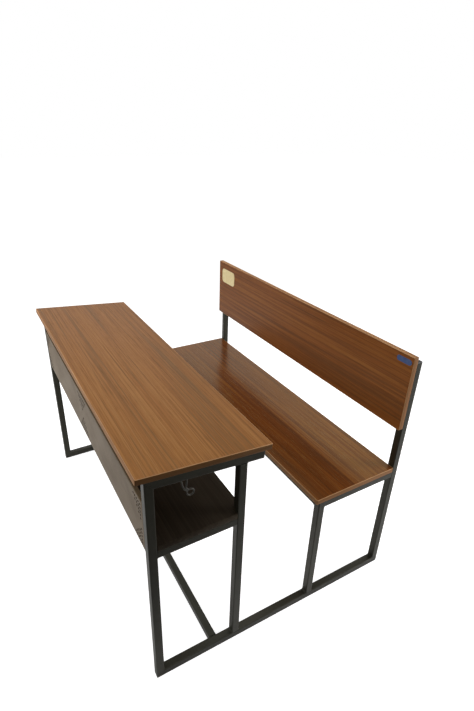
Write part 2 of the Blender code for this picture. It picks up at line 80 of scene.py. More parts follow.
class NodeSet:  # the nodes of one material or world, laid out twelve to a row

    def __init__(self, tree):
        self.tree = tree
        tree.nodes.clear()

    def add(self, kind, settings=None, sockets=None, output=0):
        node = self.tree.nodes.new(kind)
        node.location = (220 * (len(self.tree.nodes) % 12), -260 * (len(self.tree.nodes) // 12))
        for name, value in (settings or {}).items():
            if name == "stops":
                setStops(node.color_ramp, value)
            else:
                setattr(node, name, value)
        for key, value in (sockets or {}).items():
            if isinstance(value, Wire):
                self.tree.links.new(value.socket, node.inputs[key])
            else:
                node.inputs[key].default_value = value
        return Wire(self, node.outputs[output]) if len(node.outputs) else None

    def places(self, scale=(1, 1, 1), turn=(0, 0, 0), shift=(0, 0, 0)):
        spot = self.add("ShaderNodeTexCoord", output="Object")
        return self.add("ShaderNodeMapping", {},
                        {"Vector": spot, "Location": shift, "Rotation": turn, "Scale": scale})

    def along(self, axis):  # the place along one axis, in metres
        return self.add("ShaderNodeSeparateXYZ", {}, {"Vector": self.places()}, output=axis)

    def between(self, value, low, high):  # 0 at low, 1 at high, smooth in between
        return self.add("ShaderNodeMapRange", {"interpolation_type": "SMOOTHSTEP", "clamp": True},
                        {"Value": value, "From Min": low, "From Max": high})


class Finish(NodeSet):  # a material with its nodes

    def __init__(self, name):
        self.material = bpy.data.materials.new(name)
        self.material.use_nodes = True
        super().__init__(self.material.node_tree)

    def noise(self, spot, size, detail=2.0, rough=0.5, warp=0.0):
        return self.add("ShaderNodeTexNoise", {"noise_dimensions": "3D"},
                        {"Vector": spot, "Scale": size, "Detail": detail, "Roughness": rough,
                         "Distortion": warp})

    def colours(self, share, first, second):
        return self.add("ShaderNodeMix", {"data_type": "RGBA"}, {0: share, 6: first, 7: second}, output=2)

    def shades(self, share, look):  # from the look's dark colour through its middle one to its pale one
        stops = [(0.0, look["dark"]), (0.5, look["middle"]), (1.0, look["pale"])]
        return self.add("ShaderNodeValToRGB", {"stops": stops}, {"Fac": share})

    def bump(self, height, depth, under=None):
        sockets = {"Height": height, "Strength": 1.0, "Distance": depth}
        if under:  # a coarser relief that this one lies on
            sockets["Normal"] = under
        return self.add("ShaderNodeBump", {}, sockets)

    def close(self, sockets):
        shader = self.add("ShaderNodeBsdfPrincipled", {}, sockets)
        self.add("ShaderNodeOutputMaterial", {}, {"Surface": shader})
        return self.material


def setStops(ramp, stops):
    while len(ramp.elements) < len(stops):
        ramp.elements.new(0.5)
    for element, (place, colour) in zip(ramp.elements, stops):
        element.position = place
        element.color = colour


def tone(red, green, blue):  # a colour as a picture shows it, 0 to 255
    def linear(value):
        value /= 255
        return value / 12.92 if value <= 0.04045 else ((value + 0.055) / 1.055) ** 2.4

    return (linear(red), linear(green), linear(blue), 1.0)


# wood-look boards

woodGrain = {  # what the four boards have in common
    "broad": (0.55, 9.0, 9.0),  # how often a pattern repeats in a metre, along X, Y and Z
    "broadShare": 0.36,
    "streakLength": 1.1,
    "lineLength": 2.2,
    "pore": (14.0, 900.0, 900.0),
    "fieldRange": (0.34, 0.66),  # the noise values between which a pattern comes in
    "darkRange": (0.35, 0.60),
    "lineRange": (0.52, 0.66),
    "threadRange": (0.46, 0.34),
    "dashRange": (0.58, 0.70),
    "lineStrength": 0.75,
    "lineRoughness": 0.06,  # what a pattern adds to the roughness
    "dashRoughness": 0.10,
    "broadRoughness": 0.08,
    "depth": 0.00008,
}

# The four boards share one laminate; these four looks are lit and shaded copies of it, so their tones hold
# painted light and shade.
deskLaminate = {
    "pale": tone(158, 107, 55),
    "middle": tone(141, 88, 37),
    "dark": tone(114, 78, 40),
    "line": tone(92, 54, 24),
    "pore": tone(84, 50, 22),
    "roughness": 0.36,
    "gleam": 0.30,
    "tint": (1.0, 0.78, 0.38, 1),
    "turn": (0, 0, 0),
    "shift": (0.3, 1.1, 0.0),
    "streaks": 125.0,  # how many lie across a metre of width
    "lines": 330.0,
    "threads": 0.65,  # how clearly the pale threads and the dark dashes show
    "dashes": 0.45,
}

# the seat's copy is darker: painted shade
seatShadedLaminate = {
    "pale": tone(130, 78, 32),
    "middle": tone(104, 52, 17),
    "dark": tone(78, 38, 13),
    "line": tone(55, 27, 9),
    "pore": tone(54, 26, 11),
    "roughness": 0.20,
    "gleam": 0.80,
    "tint": (1.0, 0.76, 0.24, 1),
    "turn": (0, 0, 0),
    "shift": (2.7, 0.4, 0.0),
    "streaks": 80.0,
    "lines": 260.0,
    "threads": 0.55,
    "dashes": 0.35,
}

backLaminate = {
    "pale": tone(149, 91, 37),
    "middle": tone(131, 72, 25),
    "dark": tone(103, 58, 22),
    "line": tone(80, 42, 15),
    "pore": tone(70, 35, 13),
    "roughness": 0.34,
    "gleam": 0.34,
    "tint": (1.0, 0.74, 0.42, 1),
    "turn": (math.radians(90), 0, 0),  # this board stands on edge
    "shift": (5.2, 0.0, 0.0),
    "streaks": 80.0,
    "lines": 260.0,
    "threads": 0.55,
    "dashes": 0.35,
}

# the shelf's copy is dark and grey: painted shade under the desk
shelfShadedLaminate = {
    "pale": tone(61, 53, 43),
    "middle": tone(54, 46, 37),
    "dark": tone(46, 39, 31),
    "line": tone(42, 35, 28),
    "pore": tone(37, 31, 25),
    "roughness": 0.50,
    "gleam": 0.06,
    "tint": (1.0, 0.85, 0.65, 1),
    "turn": (0, 0, 0),
    "shift": (8.1, 0.7, 0.0),
    "streaks": 80.0,
    "lines": 260.0,
    "threads": 0.55,
    "dashes": 0.35,
}


def woodFinish(name, look):
    wood = Finish(name)

    def pattern(scale, detail, rough, warp=0.0):  # long in X, where the grain runs, and narrow across it
        return wood.noise(wood.places(scale, look["turn"], look["shift"]), 1.0, detail, rough, warp)

    broad = pattern(woodGrain["broad"], 2.0, 0.5, 0.25)
    streak = pattern((woodGrain["streakLength"], look["streaks"], look["streaks"]), 4.0, 0.6, 0.35)
    line = pattern((woodGrain["lineLength"], look["lines"], look["lines"]), 3.0, 0.6, 0.2)
    pore = pattern(woodGrain["pore"], 1.0, 0.5)
    field = broad * woodGrain["broadShare"] + streak * (1 - woodGrain["broadShare"])
    colour = wood.shades(wood.between(field, *woodGrain["fieldRange"]), look)
    lines = wood.between(line, *woodGrain["lineRange"])
    darkZones = wood.between(streak, *woodGrain["darkRange"])
    colour = wood.colours(lines * darkZones * woodGrain["lineStrength"], colour, look["line"])
    threads = wood.between(line, *woodGrain["threadRange"])  # pale threads beside the dark lines
    colour = wood.colours(threads * look["threads"], colour, look["pale"])
    dashes = wood.between(pore, *woodGrain["dashRange"])
    colour = wood.colours(dashes * look["dashes"], colour, look["pore"])
    roughness = (look["roughness"] + lines * woodGrain["lineRoughness"] + dashes * woodGrain["dashRoughness"]
                 + (broad - 0.5) * woodGrain["broadRoughness"])
    relief = wood.bump(line * 0.5 + pore * 0.5, woodGrain["depth"])
    return wood.close({"Base Color": colour, "Roughness": roughness, "Normal": relief,
                       "Specular IOR Level": look["gleam"], "Specular Tint": look["tint"]})


# edge bands

bandLook = {
    "pale": tone(178, 132, 90),
    "middle": tone(162, 116, 75),
    "dark": tone(136, 92, 56),
    "range": (0.32, 0.68),
    "speckShare": 0.2,
    "speckRoughness": 0.15,
    "speckDepth": 0.00005,
    "end": tone(140, 98, 64),  # painted shade on the boards' short ends
    "endShadeShare": 0.85,
    "endRange": (0.6086, 0.6094),  # metres from the middle of the bench
    "roughness": 0.52,
    "gleam": 0.14,
    "tint": (1.0, 0.80, 0.58, 1),
    "stretch": (3.0, 3.0, 140.0),  # streaks run along the band
}

deskBandShadedEndLook = {**bandLook, "end": tone(82, 56, 30)}  # deeper painted shade on the desk's short ends
backBandLook = {**bandLook, "stretch": (3.0, 140.0, 3.0)}

arrisHighlightLook = {  # painted highlight on the bands' upper arrises, where they catch the light
    **bandLook,
    "pale": tone(212, 166, 118),
    "middle": tone(192, 146, 100),
    "dark": tone(162, 118, 76),
    "end": tone(188, 140, 96),
    "roughness": 0.40,
    "gleam": 0.30,
    "tint": (1.0, 0.86, 0.70, 1),
    "stretch": (3.0, 90.0, 90.0),
}


def bandFinish(name, look):
    band = Finish(name)
    streak = band.noise(band.places(look["stretch"]), 1.0, 3.0, 0.6)
    speck = band.noise(band.places(look["stretch"]), 6.0, 2.0, 0.6)
    field = streak * (1 - look["speckShare"]) + speck * look["speckShare"]
    colour = band.shades(band.between(field, *look["range"]), look)
    # the short ends are painted darker: painted shade
    shadedEnd = band.between(abs(band.along("X")), *look["endRange"])
    colour = band.colours(shadedEnd * look["endShadeShare"], colour, look["end"])
    roughness = look["roughness"] + (speck - 0.5) * look["speckRoughness"]
    return band.close({"Base Color": colour, "Roughness": roughness,
                       "Normal": band.bump(speck, look["speckDepth"]),
                       "Specular IOR Level": look["gleam"], "Specular Tint": look["tint"]})


# black powder coat on the frame

coatLook = {
    "black": tone(26, 25, 17),
    "rubbed": tone(58, 57, 53),
    "dust": tone(80, 77, 70),
    # painted shade on the lowest sides of the frame, next to the floor
    "lowShade": tone(14, 14, 12),
    "lowShadeShare": 0.6,
    "lowShadeRange": (0.0246, 0.0234),  # metres above the floor, from none to all
    "rubbedRange": (0.11, 0.0),
    "grain": 1400.0,  # how often it repeats in a metre
    "wave": 38.0,
    "patch": 9.0,
    "scuff": (7.0, 90.0, 90.0),
    "scuffRange": (0.60, 0.70),
    "scuffShare": 0.08,
    "scuffShareLow": 0.25,  # and how much more near the floor
    "dustRange": (0.45, 0.80),
    "dustShare": 0.04,
    "dustShareLow": 0.05,
    "dustRoughness": 0.6,
    "grainRoughness": 0.10,
    "patchRoughness": 0.10,
    "roughness": 0.42,
    "gleam": 0.48,
    "tint": (1.0, 0.97, 0.82, 1),
    "grainDepth": 0.00006,
    "waveDepth": 0.0003,
}

hookLook = {**coatLook, "black": tone(64, 62, 58), "rubbed": tone(96, 94, 88)}  # paler than the frame's coat all over


def powderCoat(name, look):
    coat = Finish(name)
    grain = coat.noise(coat.places(), look["grain"], 2.0, 0.6)
    wave = coat.noise(coat.places(), look["wave"], 2.0, 0.5)
    patch = coat.noise(coat.places(), look["patch"], 4.0, 0.6)
    scuff = coat.noise(coat.places(look["scuff"]), 1.0, 3.0, 0.7, 0.4)
    height = coat.along("Z")
    low = coat.between(height, *look["rubbedRange"])  # shoes and brooms rub the lowest tubes
    lowShadeMask = coat.between(height, *look["lowShadeRange"])
    rubs = coat.between(scuff, *look["scuffRange"]) * (look["scuffShare"] + low * look["scuffShareLow"])
    dusty = coat.between(patch, *look["dustRange"]) * (look["dustShare"] + low * look["dustShareLow"])
    colour = coat.colours(rubs, look["black"], look["rubbed"])
    colour = coat.colours(dusty, colour, look["dust"])
    # the tubes' sides next to the floor are painted darker: painted shade
    colour = coat.colours(lowShadeMask * look["lowShadeShare"], colour, look["lowShade"])
    roughness = (look["roughness"] + (grain - 0.5) * look["grainRoughness"]
                 + (patch - 0.5) * look["patchRoughness"] + dusty * look["dustRoughness"])
    relief = coat.bump(grain, look["grainDepth"], coat.bump(wave, look["waveDepth"]))
    return coat.close({"Base Color": colour, "Roughness": roughness, "Normal": relief,
                       "Specular IOR Level": look["gleam"], "Specular Tint": look["tint"]})


# painted front panel

panelLook = {
    "paint": tone(115, 98, 75),
    "mottle": tone(105, 88, 67),
    "mottleRange": (0.35, 0.70),
    "cloud": 7.0,  # how often it repeats in a metre
    "cloudStretch": (1.0, 1.0, 1.6),
    "grain": 1300.0,
    "roughness": 0.46,
    "cloudRoughness": 0.20,
    "grainRoughness": 0.10,
    "gleam": 0.14,
    "tint": (1.0, 0.90, 0.70, 1),
    "cloudDepth": 0.0005,
    "grainDepth": 0.00005,
}

holeWallLook = {**panelLook, "paint": tone(40, 34, 27), "mottle": tone(32, 28, 22)}  # the walls of the holes are darker


def panelPaint(name, look):
    paint = Finish(name)
    cloud = paint.noise(paint.places(look["cloudStretch"]), look["cloud"], 4.0, 0.55, 0.3)
    grain = paint.noise(paint.places(), look["grain"], 2.0, 0.6)
    colour = paint.colours(paint.between(cloud, *look["mottleRange"]), look["paint"], look["mottle"])
    roughness = (look["roughness"] + (cloud - 0.5) * look["cloudRoughness"]
                 + (grain - 0.5) * look["grainRoughness"])
    relief = paint.bump(grain, look["grainDepth"], paint.bump(cloud, look["cloudDepth"]))
    return paint.close({"Base Color": colour, "Roughness": roughness, "Normal": relief,
                        "Specular IOR Level": look["gleam"], "Specular Tint": look["tint"]})


# plastic caps and zinc screws

capLook = {
    "black": tone(28, 28, 28),
    "worn": tone(62, 61, 58),
    "wornRange": (0.60, 0.75),
    "wornShare": 0.5,
    "roughness": 0.48,
    "grain": 1800.0,  # how often it repeats in a metre
    "wear": 120.0,
    "wearRoughness": 0.20,
    "grainDepth": 0.00006,
}

zincLook = {
    "bright": tone(196, 194, 186),
    "dull": tone(142, 140, 132),
    "dullRange": (0.40, 0.70),
    "roughness": 0.32,
    "blotch": 260.0,
    "fine": 2400.0,
    "blotchRoughness": 0.25,
    "fineRoughness": 0.10,
    "fineDepth": 0.00002,
}


def capPlastic(name, look):
    plastic = Finish(name)
    grain = plastic.noise(plastic.places(), look["grain"], 1.0, 0.5)
    wear = plastic.noise(plastic.places(), look["wear"], 3.0, 0.6)
    worn = plastic.between(wear, *look["wornRange"]) * look["wornShare"]
    colour = plastic.colours(worn, look["black"], look["worn"])
    roughness = look["roughness"] + (wear - 0.5) * look["wearRoughness"]
    return plastic.close({"Base Color": colour, "Roughness": roughness,
                          "Normal": plastic.bump(grain, look["grainDepth"])})


def platedMetal(name, look):
    zinc = Finish(name)
    blotch = zinc.noise(zinc.places(), look["blotch"], 3.0, 0.6)
    fine = zinc.noise(zinc.places(), look["fine"], 1.0, 0.5)
    colour = zinc.colours(zinc.between(blotch, *look["dullRange"]), look["bright"], look["dull"])
    roughness = (look["roughness"] + (blotch - 0.5) * look["blotchRoughness"]
                 + (fine - 0.5) * look["fineRoughness"])
    return zinc.close({"Base Color": colour, "Metallic": 1.0, "Roughness": roughness,
                       "Normal": zinc.bump(fine, look["fineDepth"])})


materials = {
    "desk": woodFinish("deskLaminate", deskLaminate),
    "seat": woodFinish("seatShadedLaminate", seatShadedLaminate),
    "back": woodFinish("backLaminate", backLaminate),
    "shelf": woodFinish("shelfShadedLaminate", shelfShadedLaminate),
    "band": bandFinish("edgeBand", bandLook),
    "deskBand": bandFinish("deskBand", deskBandShadedEndLook),
    "backBand": bandFinish("backBand", backBandLook),
    "arrisHighlight": bandFinish("bandArrisHighlight", arrisHighlightLook),
    "coat": powderCoat("powderCoat", coatLook),
    "panel": panelPaint("panelPaint", panelLook),
    "holeWall": panelPaint("holeWallPaint", holeWallLook),
    "cap": capPlastic("capPlastic", capLook),
    "zinc": platedMetal("zincPlate", zincLook),
    "wire": powderCoat("hookCoat", hookLook),
}
print("materials made,", len(materials))


def finishFor(name):  # which material a node of the frame takes
    # the shelf's bands take the shelf's copy with its painted shade
    if "band" in name:
        return materials["shelf" if name.startswith("shelf") else "band"]
    if "board" in name:
        return materials[name.split("_")[0]]
    if "cap" in name:
        return materials["cap"]
    if "screw" in name:
        return materials["zinc"]
    if "panel" in name:
        return materials["panel"]
    if "hook" in name:
        return materials["wire"]
    return materials["coat"]


for name, piece in nodes.items():
    for holder in piece.material_slots:
        holder.material = finishFor(name)
print("frame dressed")


# building pieces

def addObject(name, content):
    thing = bpy.data.objects.new(name, content)
    bpy.context.scene.collection.objects.link(thing)
    return thing


def toMesh(name, shape, material):
    mesh = bpy.data.meshes.new(name)
    shape.to_mesh(mesh)
    shape.free()
    mesh.materials.append(material)
    return mesh


def newPiece(name, shape, material, stands=(), sharp=None):  # edges over sharp degrees stay crisp
    bmesh.ops.recalc_face_normals(shape, faces=shape.faces)
    mesh = toMesh(name, shape, material)
    mesh.shade_smooth()
    if sharp:
        mesh.set_sharp_from_angle(angle=math.radians(sharp))
    piece = addObject(name, mesh)
    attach(piece, "root")
    if stands:
        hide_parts(*stands)
    return piece


def pullEdges(shape, edges):  # new faces along open edges; gives the new points and edges
    made = bmesh.ops.extrude_edge_only(shape, edges=edges)["geom"]
    verts = [item for item in made if isinstance(item, bmesh.types.BMVert)]
    outer = [item for item in made if isinstance(item, bmesh.types.BMEdge)
             and item.verts[0] in verts and item.verts[1] in verts]
    return verts, outer


def easeEdges(shape, edges, offset, segments):  # gives the new faces
    eased = bmesh.ops.bevel(shape, geom=edges, offset=offset, offset_type="OFFSET", affect="EDGES",
                            segments=segments, profile=0.5, material=-1, clamp_overlap=True)
    return eased["faces"]


def sweep(shape, points, sizes, side, sides):  # rings along the points, closed at both ends
    places = []
    for index, (point, size) in enumerate(zip(points, sizes)):
        ahead = (points[min(index + 1, len(points) - 1)] - points[max(index - 1, 0)]).normalized()
        turn = Matrix((side, ahead.cross(side), ahead)).transposed().to_4x4()
        places.append(Matrix.Translation(point) @ turn @ Matrix.Scale(size, 4))
    bmesh.ops.create_circle(shape, cap_ends=False, segments=sides, radius=1.0, matrix=places[0])
    edges = [edge for edge in shape.edges if edge.is_wire]
    bmesh.ops.contextual_create(shape, geom=edges)
    for before, after in zip(places, places[1:]):
        verts, edges = pullEdges(shape, edges)
        bmesh.ops.transform(shape, matrix=after @ before.inverted(), verts=verts)
    bmesh.ops.contextual_create(shape, geom=edges)


def middleOf(name):
    low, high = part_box(name)
    return (low + high) / 2, high - low


# edge bands with eased arrises

band = {
    "wall": 0.00225,
    "thick": 0.018,
    "ease": 0.0012,  # how far the upper arrises are rounded
    "easeUnder": 0.0018,
    "corner": 0.0033,
    "deskSlope": 4.65,  # degrees
}


def edgeBand(name, length, depth, place):  # a flat ring round one board
    def wide(face, side):  # the board's own upper or lower side
        return face.normal.z * side > 0.99 and face.calc_area() > length * depth / 2

    shape = bmesh.new()
    bmesh.ops.create_cube(shape, size=1.0, matrix=Matrix.Diagonal((length, depth, band["thick"], 1)))
    upright = [edge for edge in shape.edges if abs(edge.verts[0].co.z - edge.verts[1].co.z) > band["wall"]]
    easeEdges(shape, upright, band["corner"], 4)
    for side, ease in ((1, band["ease"]), (-1, band["easeUnder"])):
        arrises = [edge for edge in shape.edges
                   if min(vert.co.z * side for vert in edge.verts) > band["thick"] / 4]
        for face in easeEdges(shape, arrises, ease, 3):
            face.material_index = int(side > 0)  # the upper arrises take the painted highlight
        flat = [face for face in shape.faces if wide(face, side)]
        bmesh.ops.inset_region(shape, faces=flat, thickness=band["wall"] - ease, use_even_offset=True)
    inner = [face for face in shape.faces if wide(face, 1) or wide(face, -1)]
    rims = [edge for face in inner for edge in face.edges]
    bmesh.ops.delete(shape, geom=inner, context="FACES_ONLY")
    bmesh.ops.bridge_loops(shape, edges=rims)
    bmesh.ops.transform(shape, matrix=place, verts=shape.verts)
    look = materials.get(name.split("_")[0] + "Band", materials["band"])
    piece = newPiece(name, shape, look, [name.replace("eased", "edge")], 50)
    piece.data.materials.append(materials["arrisHighlight"])


slope = math.radians(band["deskSlope"])
centre, size = middleOf("desk_edge_band")
tilt = Matrix.Rotation(-slope, 4, "X")
deskDepth = (size.y - band["thick"] * math.sin(slope)) / math.cos(slope)
edgeBand("desk_eased_band", size.x, deskDepth, Matrix.Translation(centre) @ tilt)
centre, size = middleOf("seat_edge_band")
edgeBand("seat_eased_band", size.x, size.y, Matrix.Translation(centre))
centre, size = middleOf("back_edge_band")
tilt = Matrix.Rotation(math.pi / 2, 4, "X")
edgeBand("back_eased_band", size.x, size.z, Matrix.Translation(centre) @ tilt)


# thin strips glued on the shelf's open edges

strip = {"ease": 0.0006}


def shelfStrip(name):
    centre, size = middleOf(name)
    shape = bmesh.new()
    bmesh.ops.create_cube(shape, size=1.0, matrix=Matrix.Translation(centre) @ Matrix.Diagonal((*size, 1)))
    easeEdges(shape, shape.edges[:], strip["ease"], 2)
    # the strips take the shelf's copy with its painted shade
    newPiece(name.replace("band", "strip"), shape, materials["shelf"], [name], 50)


for name in ("shelf_end_band_left", "shelf_end_band_right", "shelf_rear_band"):
    shelfStrip(name)
print("boards edged")


# front panel: one sheet, folded back all round, with round holes

panel = {
    "sheet": 0.0012,
    "fold": 0.0024,  # outer radius of the folds
    "foldSteps": 5,
    "hole": 0.0075,
    "pitch": 0.012,
    "margin": 0.016,
    "sides": 24,
}


def panelHoles(width, height):  # triangles at both ends and in the middle, above and below mid-height
    rows = int((height / 2 - panel["margin"]) / panel["pitch"])
    for row in range(rows):
        level = height / 2 - panel["margin"] - row * panel["pitch"]
        for z in (level, -level):
            for column in range(rows - row):
                x = width / 2 - panel["margin"] - column * panel["pitch"]
                yield x, z
                yield -x, z
            for column in range(row + 1 - rows, rows - row):
                yield column * panel["pitch"], z


def frontPanel():
    centre, size = middleOf("front_panel")
    fold = panel["fold"]
    facing = Matrix.Rotation(math.pi / 2, 4, "X")
    shape = bmesh.new()
    flat = Matrix.Diagonal((size.x - 2 * fold, 1, size.z - 2 * fold, 1)) @ facing
    bmesh.ops.create_grid(shape, x_segments=1, y_segments=1, size=0.5, matrix=flat)
    bmesh.ops.delete(shape, geom=shape.faces[:], context="FACES_ONLY")
    outline = shape.edges[:]
    for x, z in panelHoles(size.x, size.z):
        bmesh.ops.create_circle(shape, cap_ends=False, segments=panel["sides"], radius=panel["hole"] / 2,
                                matrix=Matrix.Translation((x, 0, z)) @ facing)
    bmesh.ops.triangle_fill(shape, use_beauty=True, use_dissolve=False, edges=shape.edges[:],
                            normal=(0, -1, 0))
    edges = outline
    turns = [math.pi / 2 * step / panel["foldSteps"] for step in range(1, panel["foldSteps"] + 1)]
    rings = [(fold * math.sin(turn), fold * (1 - math.cos(turn))) for turn in turns]
    for out, back in rings + [(fold, size.y)]:
        verts, edges = pullEdges(shape, edges)
        for vert in verts:
            vert.co.x = math.copysign(size.x / 2 - fold + out, vert.co.x)
            vert.co.z = math.copysign(size.z / 2 - fold + out, vert.co.z)
            vert.co.y = back
    bmesh.ops.recalc_face_normals(shape, faces=shape.faces)
    bmesh.ops.solidify(shape, geom=shape.faces[:], thickness=panel["sheet"])
    shape.normal_update()
    for face in shape.faces:  # the walls of the holes take the second material
        spot = face.calc_center_median()
        inside = abs(spot.x) < size.x / 2 - 2 * fold and abs(spot.z) < size.z / 2 - 2 * fold
        face.material_index = int(inside and abs(face.normal.y) < 0.1)
    bmesh.ops.translate(shape, verts=shape.verts, vec=(centre.x, centre.y - size.y / 2, centre.z))
    piece = newPiece("folded_front_panel", shape, materials["panel"], ["front_panel"], 35)
    piece.data.materials.append(materials["holeWall"])


frontPanel()
print("panel folded")


# screw heads with a cross recess

screwHead = {
    "radius": 0.0046,
    "height": 0.0024,
    "cross": 0.0025,  # reach of the recess from the middle
    "arm": 0.0008,
    "deep": 0.0014,
    "taper": 0.75,  # how wide the recess is at its bottom, as a share
    # from the recess outwards and down, as shares of the radius and the height
    "profile": ((0.74, 0.10), (0.92, 0.34), (1.0, 0.72), (1.0, 1.0), (0.6, 1.0)),
    "rounding": 2,  # levels of subdivision
}


def screwPiece(name, foot, up):  # foot is the middle of the seat under the head, up points out of the head
    shape = bmesh.new()
    bmesh.ops.create_grid(shape, x_segments=3, y_segments=3, size=screwHead["cross"])
    for vert in shape.verts:
        for axis in (0, 1):
            if abs(vert.co[axis]) < screwHead["cross"] / 2:
                vert.co[axis] = math.copysign(screwHead["arm"] / 2, vert.co[axis])
    cross = [face for face in shape.faces
             if min(abs(value) for value in face.calc_center_median().xy) < screwHead["arm"] / 4]
    rim = [edge for edge in shape.edges if edge.is_boundary]
    radius, height = screwHead["radius"], screwHead["height"]
    for reach, drop in screwHead["profile"]:
        verts, rim = pullEdges(shape, rim)
        for vert in verts:
            flat = Vector((vert.co.x, vert.co.y)).normalized() * radius * reach
            vert.co = (flat.x, flat.y, -height * drop)
    bmesh.ops.contextual_create(shape, geom=rim)
    pressed = bmesh.ops.extrude_face_region(shape, geom=cross)
    bmesh.ops.delete(shape, geom=cross, context="FACES")
    verts = [item for item in pressed["geom"] if isinstance(item, bmesh.types.BMVert)]
    press = Matrix.Diagonal((screwHead["taper"], screwHead["taper"], 1, 1))
    press.translation.z = -screwHead["deep"]
    bmesh.ops.transform(shape, matrix=press, verts=verts)
    turn = up.to_track_quat("Z", "Y").to_matrix().to_4x4()
    bmesh.ops.transform(shape, matrix=Matrix.Translation(foot + up * height) @ turn, verts=shape.verts)
    group, number = name.split("_screw_")
    piece = newPiece(group + "_screw_head_" + number, shape, materials["zinc"], [name])
    smooth = piece.modifiers.new("round", "SUBSURF")
    smooth.levels = smooth.render_levels = screwHead["rounding"]


for name in nodes:
    if "_screw_" not in name:
        continue
    centre, size = middleOf(name)
    if name.startswith("back"):
        up, reach = Vector((0, 1, 0)), size.y
    elif name.startswith("panel"):
        up, reach = Vector((-math.copysign(1, centre.x), 0, 0)), size.x
    elif name.startswith("desk"):
        up = Vector((0, -math.sin(slope), -math.cos(slope)))
        reach = (size.z - screwHead["radius"] * math.sin(slope)) / math.cos(slope)
    else:
        up, reach = Vector((0, 0, -1)), size.z
    screwPiece(name, centre + up * (reach / 2 - screwHead["height"]), up)
print("screws turned in")


# bag hooks: one wire, both ends on the desk rail, with a ring below the neck

hook = {
    "wire": 0.005,
    "gap": 0.0003,  # between the two strands at the neck
    "spread": 0.016,  # between the two ends, where they are welded on
    "weld": 0.014,
    "straight": 0.020,
    "bow": 0.0015,
    "neckDrop": 0.052,
    "neckSide": 0.002,
    "ring": 0.010,
    "ringOffset": 0.0225,
    "lean": -47,  # degrees from level
    "points": 40,
    "sides": 16,
}


def hookRoute():  # across the rail and up, from where the wire leaves the rail's underside
    lean = math.radians(hook["lean"])
    out = Vector((math.cos(lean), math.sin(lean)))
    across = Vector((-out.y, out.x))
    strand = (hook["wire"] + hook["gap"]) / 2
    neck = Vector((hook["neckSide"], -hook["neckDrop"]))
    centre = neck + out * hook["ringOffset"]
    mouth = math.asin(strand / hook["ring"])
    ends = []
    for sign in (-1, 1):
        knee = Vector((sign * hook["spread"] / 2, -hook["straight"]))
        target = neck + across * strand * sign
        leg = [Vector((knee.x, hook["weld"])), Vector((knee.x, 0)), knee]
        leg += [knee.lerp(target, share) + Vector((sign * hook["bow"] * math.sin(math.pi * share), 0))
                for share in (0.15, 0.3, 0.5, 0.7, 0.85)]
        ends.append(leg + [target])
    loop = []
    for step in range(hook["points"]):
        share = step / (hook["points"] - 1)
        turn = lean + math.pi + mouth + share * (2 * math.pi - 2 * mouth)
        loop.append(centre + hook["ring"] * Vector((math.cos(turn), math.sin(turn))))
    return ends[0] + loop + ends[1][::-1]


for side in ("left", "right"):
    low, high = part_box("bag_hook_" + side)
    foot = Vector(((low.x + high.x) / 2, low.y + (hook["spread"] + hook["wire"]) / 2, high.z - hook["weld"]))
    route = [foot + Vector((0, point.x, point.y)) for point in hookRoute()]
    wire = bmesh.new()
    sweep(wire, route, [hook["wire"] / 2] * len(route), Vector((1, 0, 0)), hook["sides"])
    newPiece("bent_hook_" + side, wire, materials["wire"], ["bag_hook_" + side], 60)
print("hooks bent")


# welds where the tubes meet

weld = {
    "radius": 0.0024,
    "ripple": 0.10,  # how much a ripple stands out, as a share of the radius
    "rippleStep": 0.0018,
    "endShadeShare": 0.55,  # how thick a bead's ends are
    "sides": 10,
    "inset": 0.0012,  # kept in from the tube's side faces
    "tube": 0.025,
}


def addBead(shape, start, end, side):  # a rippled round bead from start to end
    steps = max(4, round((end - start).length / weld["rippleStep"]))
    points = [start.lerp(end, step / steps) for step in range(steps + 1)]
    sizes = [weld["radius"] * (1 + weld["ripple"] * (1 if step % 2 else -1)) for step in range(steps + 1)]
    sizes[0] = sizes[-1] = weld["radius"] * weld["endShadeShare"]
    sweep(shape, points, sizes, side, weld["sides"])


def cornerPlaces(side):  # the inside corners of one end frame, each as (y, z)
    def ends(name):
        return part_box(name + "_" + side)

    runner, frontLeg, rearLeg = ends("floor_runner"), ends("desk_front_leg"), ends("desk_rear_leg")
    benchLeg, upright, shelfRail = ends("bench_front_leg"), ends("upright"), ends("shelf_rail")
    seatRail = ends("seat_rail")
    floorTop = runner[1].z
    legTop = rearLeg[1].z  # the rail above falls to the rear
    return [(frontLeg[1].y, floorTop), (rearLeg[0].y, floorTop), (rearLeg[1].y, floorTop),
            (benchLeg[0].y, floorTop), (benchLeg[1].y, floorTop), (upright[0].y, floorTop),
            (frontLeg[1].y, shelfRail[0].z), (rearLeg[0].y, shelfRail[0].z),
            (benchLeg[1].y, seatRail[0].z), (upright[0].y, seatRail[0].z), (upright[0].y, seatRail[1].z),
            (rearLeg[0].y, legTop), (rearLeg[1].y, legTop - weld["tube"] * math.tan(slope)),
            (frontLeg[1].y, legTop + (rearLeg[0].y - frontLeg[1].y) * math.tan(slope))]


